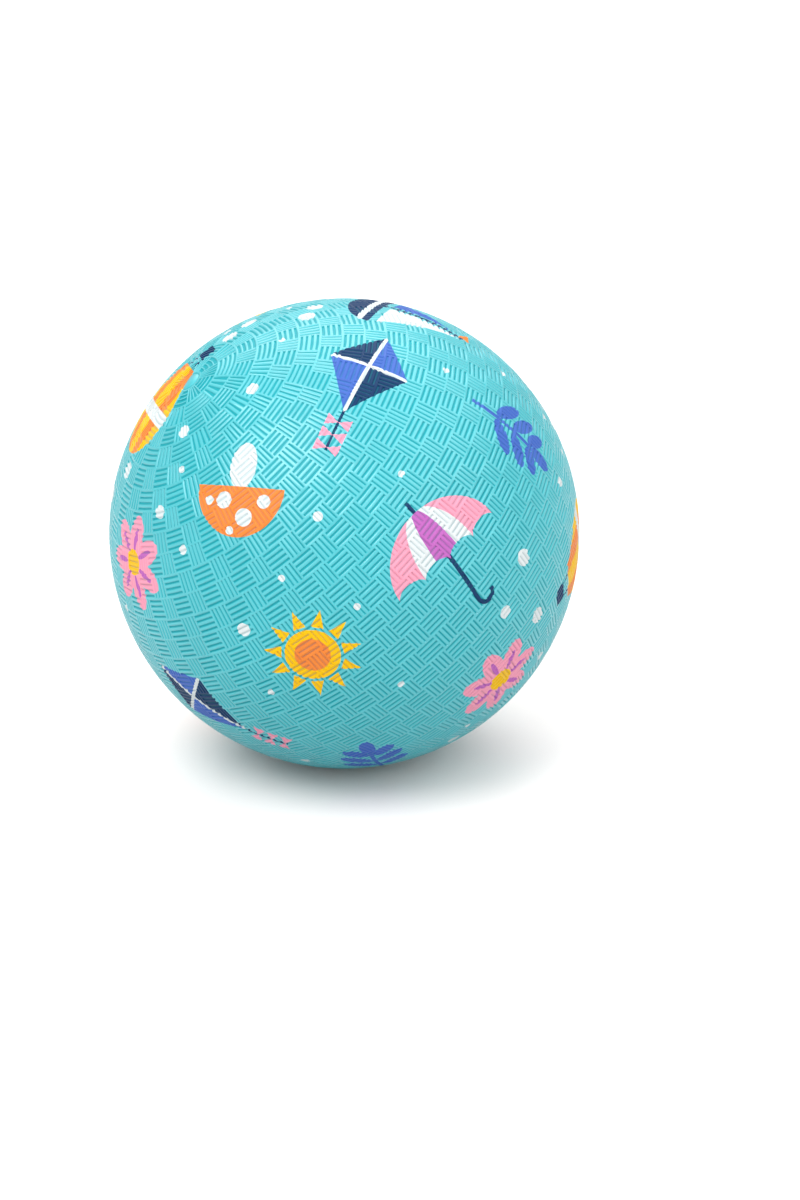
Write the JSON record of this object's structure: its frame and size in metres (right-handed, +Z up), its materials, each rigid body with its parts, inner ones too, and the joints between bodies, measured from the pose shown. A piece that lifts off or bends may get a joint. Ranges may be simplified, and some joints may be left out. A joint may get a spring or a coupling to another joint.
{
  "type": "playground ball",
  "caption": "Inflatable rubber playground ball with a basket-weave skin, an airtight bladder and a plug valve for an inflating needle.",
  "frame": {"origin": "centre of the ball", "axes": "+Z up, +Y along the valve axis, out through the valve"},
  "size_m": [0.178, 0.1778, 0.1775],
  "materials": {
    "cover_rubber": "satin moulded rubber with a basket-weave relief and a printed design",
    "bladder_rubber": "smooth matt butyl rubber",
    "patch_rubber": "matt calendered rubber",
    "housing_rubber": "smooth matt moulded rubber",
    "core_rubber": "satin moulded rubber"
  },
  "bodies": {
    "ball": {"cover": "cover_rubber", "bladder": "bladder_rubber", "valve_patch": "patch_rubber", "valve_housing": "housing_rubber"},
    "valve_plug": {"valve_core": "core_rubber"}
  },
  "joints": [
    {"name": "valve_core_pull", "type": "slide", "parent": "ball", "child": "valve_plug", "axis": [0, 1, 0], "range_m": [0, 0.03]}
  ]
}
